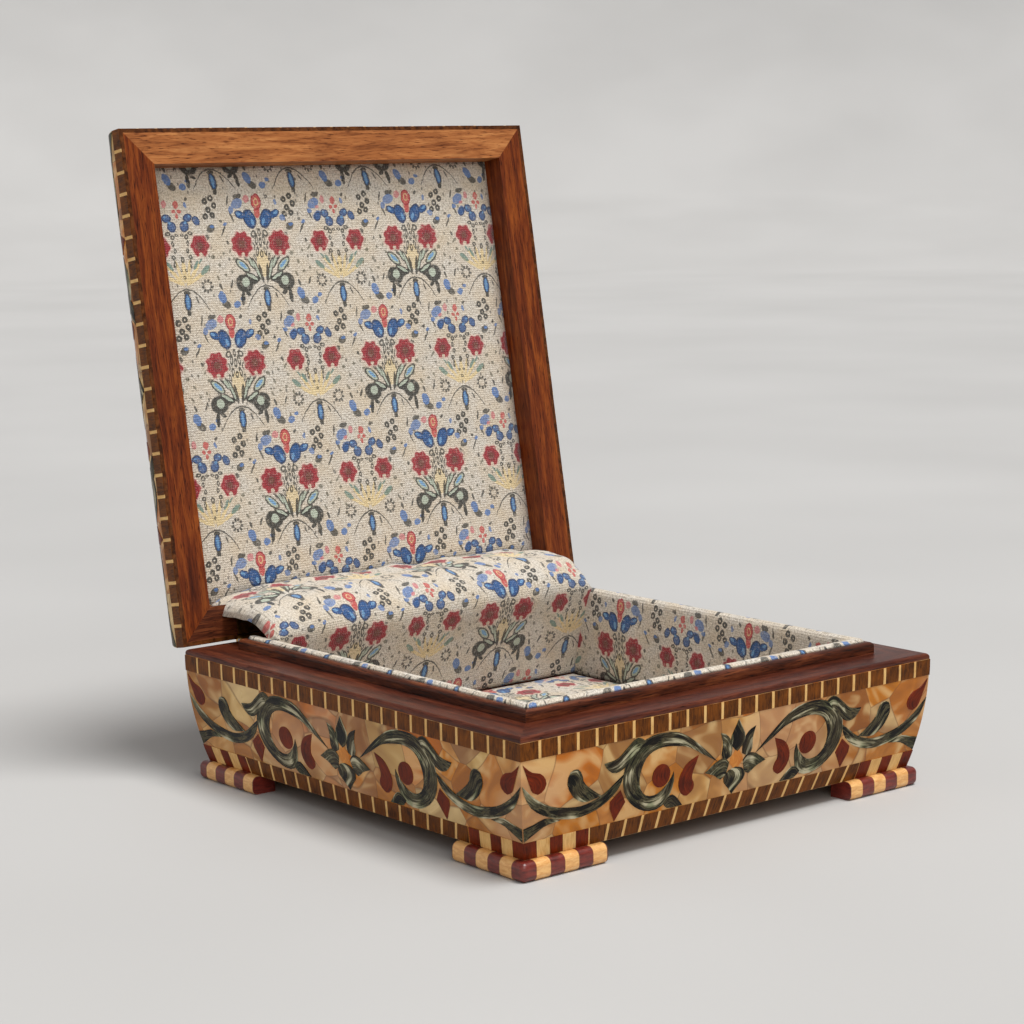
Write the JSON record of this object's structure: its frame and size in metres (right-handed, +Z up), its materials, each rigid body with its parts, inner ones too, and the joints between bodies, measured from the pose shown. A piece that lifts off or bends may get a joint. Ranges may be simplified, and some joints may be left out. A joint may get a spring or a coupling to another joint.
{
  "type": "musical jewel box",
  "caption": "Square wind-up musical jewel box with shell-inlaid sides, an open hinged lid, printed cloth lining, striped corner feet and a small movement under a lift-off cover.",
  "frame": {"origin": "on the surface the box stands on, under the middle of the object with its lid open as stored", "axes": "+X along the front to the right as one faces the box, +Y from the front towards the hinges, +Z up"},
  "size_m": [0.16, 0.2012, 0.1985],
  "materials": {
    "lid_frame_wood": "satin varnish, straight grain",
    "rim_wood": "satin varnish, dark red-brown",
    "liner_wood": "satin varnish, strong straight grain",
    "core_wood": "plain, unfinished inside",
    "bottom_wood": "thin varnish",
    "shell_veneer": "polished mother-of-pearl and shell inlay with wood borders",
    "striped_wood": "light and dark woods in stripes, varnished",
    "printed_cloth": "woven cream cotton with a small flower print",
    "brass": "satin, a little worn",
    "cast_zinc": "bare fine casting",
    "steel": "ground and blued lightly at the edges"
  },
  "bodies": {
    "box": {"bottom_panel": "bottom_wood", "bracket_inner": "cast_zinc", "bracket_outer": "cast_zinc", "comb": "steel", "comb_screws": "steel", "floor_pad": "printed_cloth", "foot_back_left": "striped_wood", "foot_back_right": "striped_wood", "foot_front_left": "striped_wood", "foot_front_right": "striped_wood", "hinge_cloth": "printed_cloth", "hinge_leaves_box": "brass", "hinge_pins": "steel", "hinge_screws_box": "brass", "inlay_back": "shell_veneer", "inlay_front": "shell_veneer", "inlay_left": "shell_veneer", "inlay_right": "shell_veneer", "liner_back": "liner_wood", "liner_front": "liner_wood", "liner_left": "liner_wood", "liner_right": "liner_wood", "lining_back": "printed_cloth", "lining_front": "printed_cloth", "lining_left": "printed_cloth", "lining_right": "printed_cloth", "mainspring": "steel", "movement_bedplate": "cast_zinc", "movement_screws": "steel", "partition_back": "printed_cloth", "partition_side": "printed_cloth", "rim_back": "rim_wood", "rim_front": "rim_wood", "rim_left": "rim_wood", "rim_right": "rim_wood", "spring_housing": "cast_zinc", "wall_back": "core_wood", "wall_front": "core_wood", "wall_left": "core_wood", "wall_right": "core_wood"},
    "lid": {"hinge_leaves_lid": "brass", "hinge_screws_lid": "brass", "lid_board": "core_wood", "lid_inlay_back": "shell_veneer", "lid_inlay_front": "shell_veneer", "lid_inlay_left": "shell_veneer", "lid_inlay_right": "shell_veneer", "lid_inlay_top": "shell_veneer", "lid_pad": "printed_cloth", "lid_rail_back": "lid_frame_wood", "lid_rail_front": "lid_frame_wood", "lid_rail_left": "lid_frame_wood", "lid_rail_right": "lid_frame_wood"},
    "cover": {"movement_cover": "printed_cloth"},
    "key": {"winding_key": "brass", "winding_arbor": "steel"},
    "cylinder": {"cylinder": "brass", "cylinder_wheel": "brass"},
    "idler": {"idler_wheel": "brass"},
    "fan": {"fan": "brass"}
  },
  "joints": [
    {"name": "lid_hinge", "type": "hinge", "parent": "box", "child": "lid", "pos_m": [0, 0.0599, 0.0404], "axis": [1, 0, 0], "range_deg": [0, 100], "deforming": ["hinge_cloth"]},
    {"name": "key_turn", "type": "hinge", "parent": "box", "child": "key", "pos_m": [-0.043, -0.0461, 0.0032], "axis": [0, 0, 1], "continuous": true},
    {"name": "cover_lift", "type": "slide", "parent": "box", "child": "cover", "axis": [0, 0, 1], "range_m": [0, 0.015]},
    {"name": "cylinder_spin", "type": "hinge", "parent": "box", "child": "cylinder", "pos_m": [-0.043, -0.0661, 0.0183], "axis": [1, 0, 0], "continuous": true},
    {"name": "idler_spin", "type": "hinge", "parent": "box", "child": "idler", "pos_m": [-0.043, -0.058, 0.0183], "axis": [1, 0, 0], "continuous": true},
    {"name": "fan_spin", "type": "hinge", "parent": "box", "child": "fan", "pos_m": [-0.043, -0.0509, 0.0183], "axis": [1, 0, 0], "continuous": true}
  ],
  "couplings": [
    {"joint": "idler_spin", "follows": "cylinder_spin", "ratio": -3},
    {"joint": "fan_spin", "follows": "cylinder_spin", "ratio": 7.5}
  ]
}
